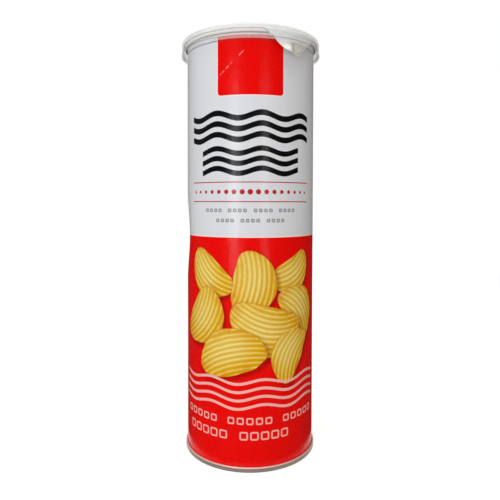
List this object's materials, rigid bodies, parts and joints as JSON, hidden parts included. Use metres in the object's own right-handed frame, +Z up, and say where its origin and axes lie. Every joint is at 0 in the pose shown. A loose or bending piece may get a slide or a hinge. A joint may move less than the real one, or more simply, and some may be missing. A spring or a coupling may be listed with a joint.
{
  "type": "canister of stacked potato crisps",
  "caption": "Tall round card canister of stacked crisps with a seamed steel foot, a foil seal with a pull tab and a lift-off translucent overcap.",
  "frame": {"origin": "middle of the foot, on the plane that the can stands on", "axes": "+Z up along the can, the label's front faces -Y"},
  "size_m": [0.082, 0.082, 0.2387],
  "materials": {
    "printed_card": "glossy varnished print, red below and white above",
    "steel": "plain tinned steel",
    "foil": "crinkled, white-lacquered foil",
    "cap_plastic": "translucent, softly glossy"
  },
  "bodies": {
    "can": {"can_body": "printed_card", "bottom_end": "steel", "foil_seal": "foil"},
    "lid": {"overcap": "cap_plastic"}
  },
  "joints": [
    {"name": "lid_lift", "type": "slide", "parent": "can", "child": "lid", "axis": [0, 0, 1], "range_m": [0, 0.03]}
  ]
}
